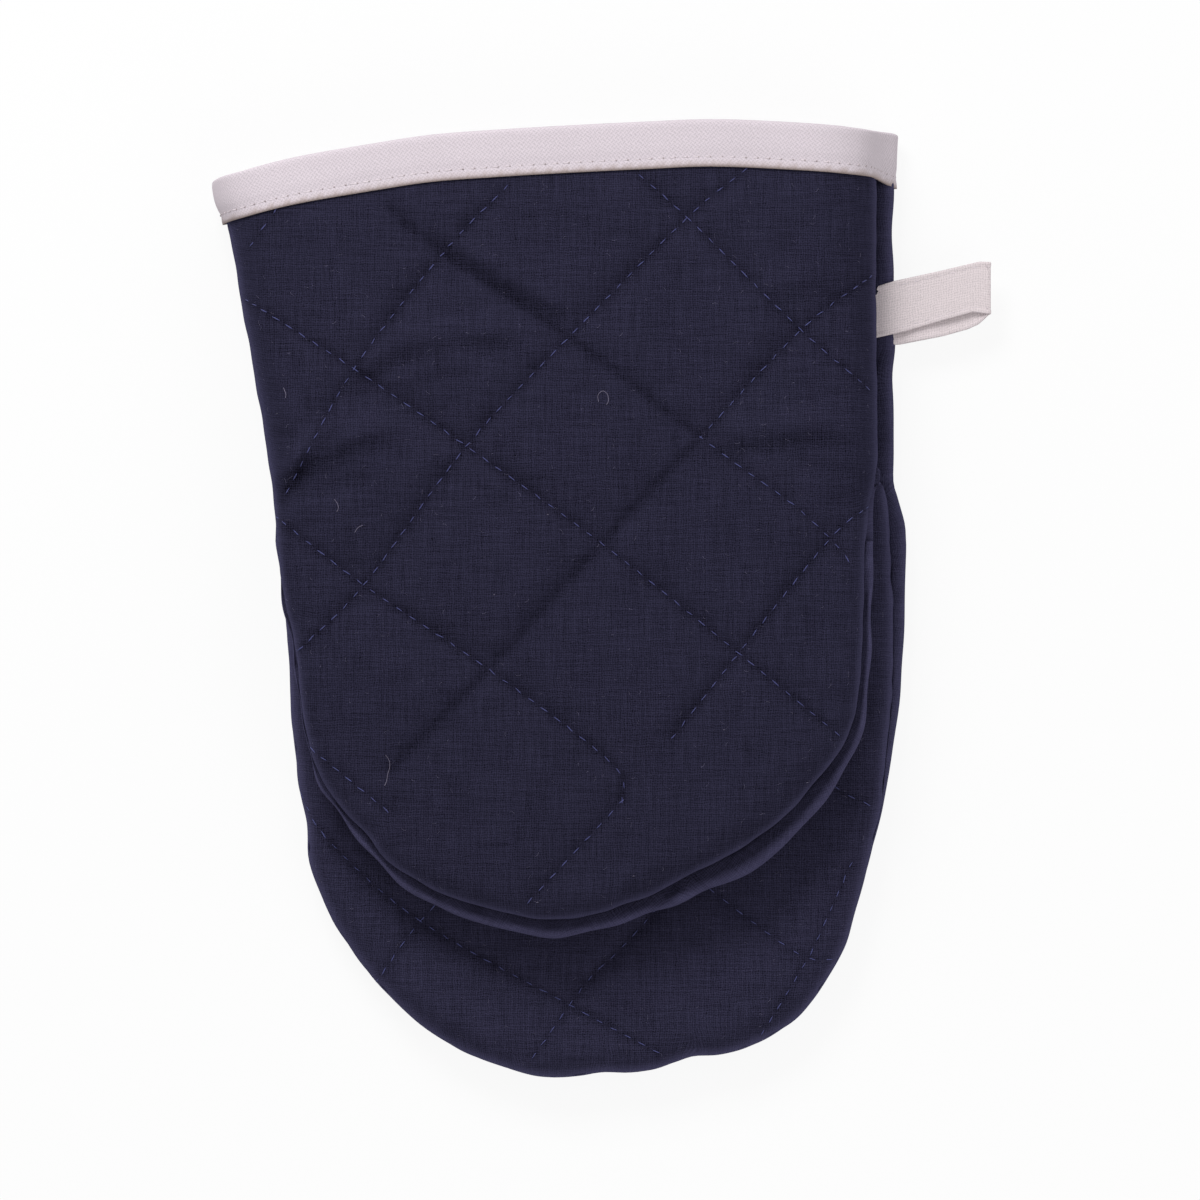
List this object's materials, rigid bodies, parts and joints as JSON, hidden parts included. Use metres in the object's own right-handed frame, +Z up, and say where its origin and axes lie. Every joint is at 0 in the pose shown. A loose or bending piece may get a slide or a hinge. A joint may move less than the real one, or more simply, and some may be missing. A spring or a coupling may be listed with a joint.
{
  "type": "oven glove",
  "caption": "Short quilted oven mitt with a finger pocket and a thumb pocket that close like jaws, a taped cuff and a hanging loop",
  "frame": {"origin": "below the centre of the outline, on the surface that the mitt lies on", "axes": "+Y from the finger tip towards the cuff, +Z up from the back panel to the front, +X towards the hanging loop"},
  "size_m": [0.1994, 0.2449, 0.0381],
  "materials": {
    "navy_cotton": "matte",
    "polyester_wadding": "matte",
    "lining_cotton": "matte",
    "cuff_tape": "matte",
    "loop_tape": "matte"
  },
  "bodies": {
    "cuff_and_fingers": {"back_cloth": "navy_cotton", "back_wadding": "polyester_wadding", "back_lining": "lining_cotton", "finger_palm_cloth": "navy_cotton", "finger_palm_wadding": "polyester_wadding", "finger_palm_lining": "lining_cotton", "cuff_front_cloth": "navy_cotton", "cuff_front_wadding": "polyester_wadding", "cuff_front_lining": "lining_cotton", "back_tape": "cuff_tape", "cuff_front_tape": "cuff_tape"},
    "thumb_pocket": {"thumb_palm_cloth": "navy_cotton", "thumb_palm_wadding": "polyester_wadding", "thumb_palm_lining": "lining_cotton", "thumb_front_cloth": "navy_cotton", "thumb_front_wadding": "polyester_wadding", "thumb_front_lining": "lining_cotton"},
    "loop": {"hanging_loop": "loop_tape"}
  },
  "joints": [
    {"name": "thumb_hinge", "type": "hinge", "parent": "cuff_and_fingers", "child": "thumb_pocket", "pos_m": [0, 0.0279, 0.0381], "axis": [-1, 0, 0], "range_deg": [0, 70]},
    {"name": "loop_hinge", "type": "hinge", "parent": "cuff_and_fingers", "child": "loop", "pos_m": [0.0709, 0.0731, 0.0098], "axis": [0, -1, 0], "range_deg": [0, 60]}
  ]
}
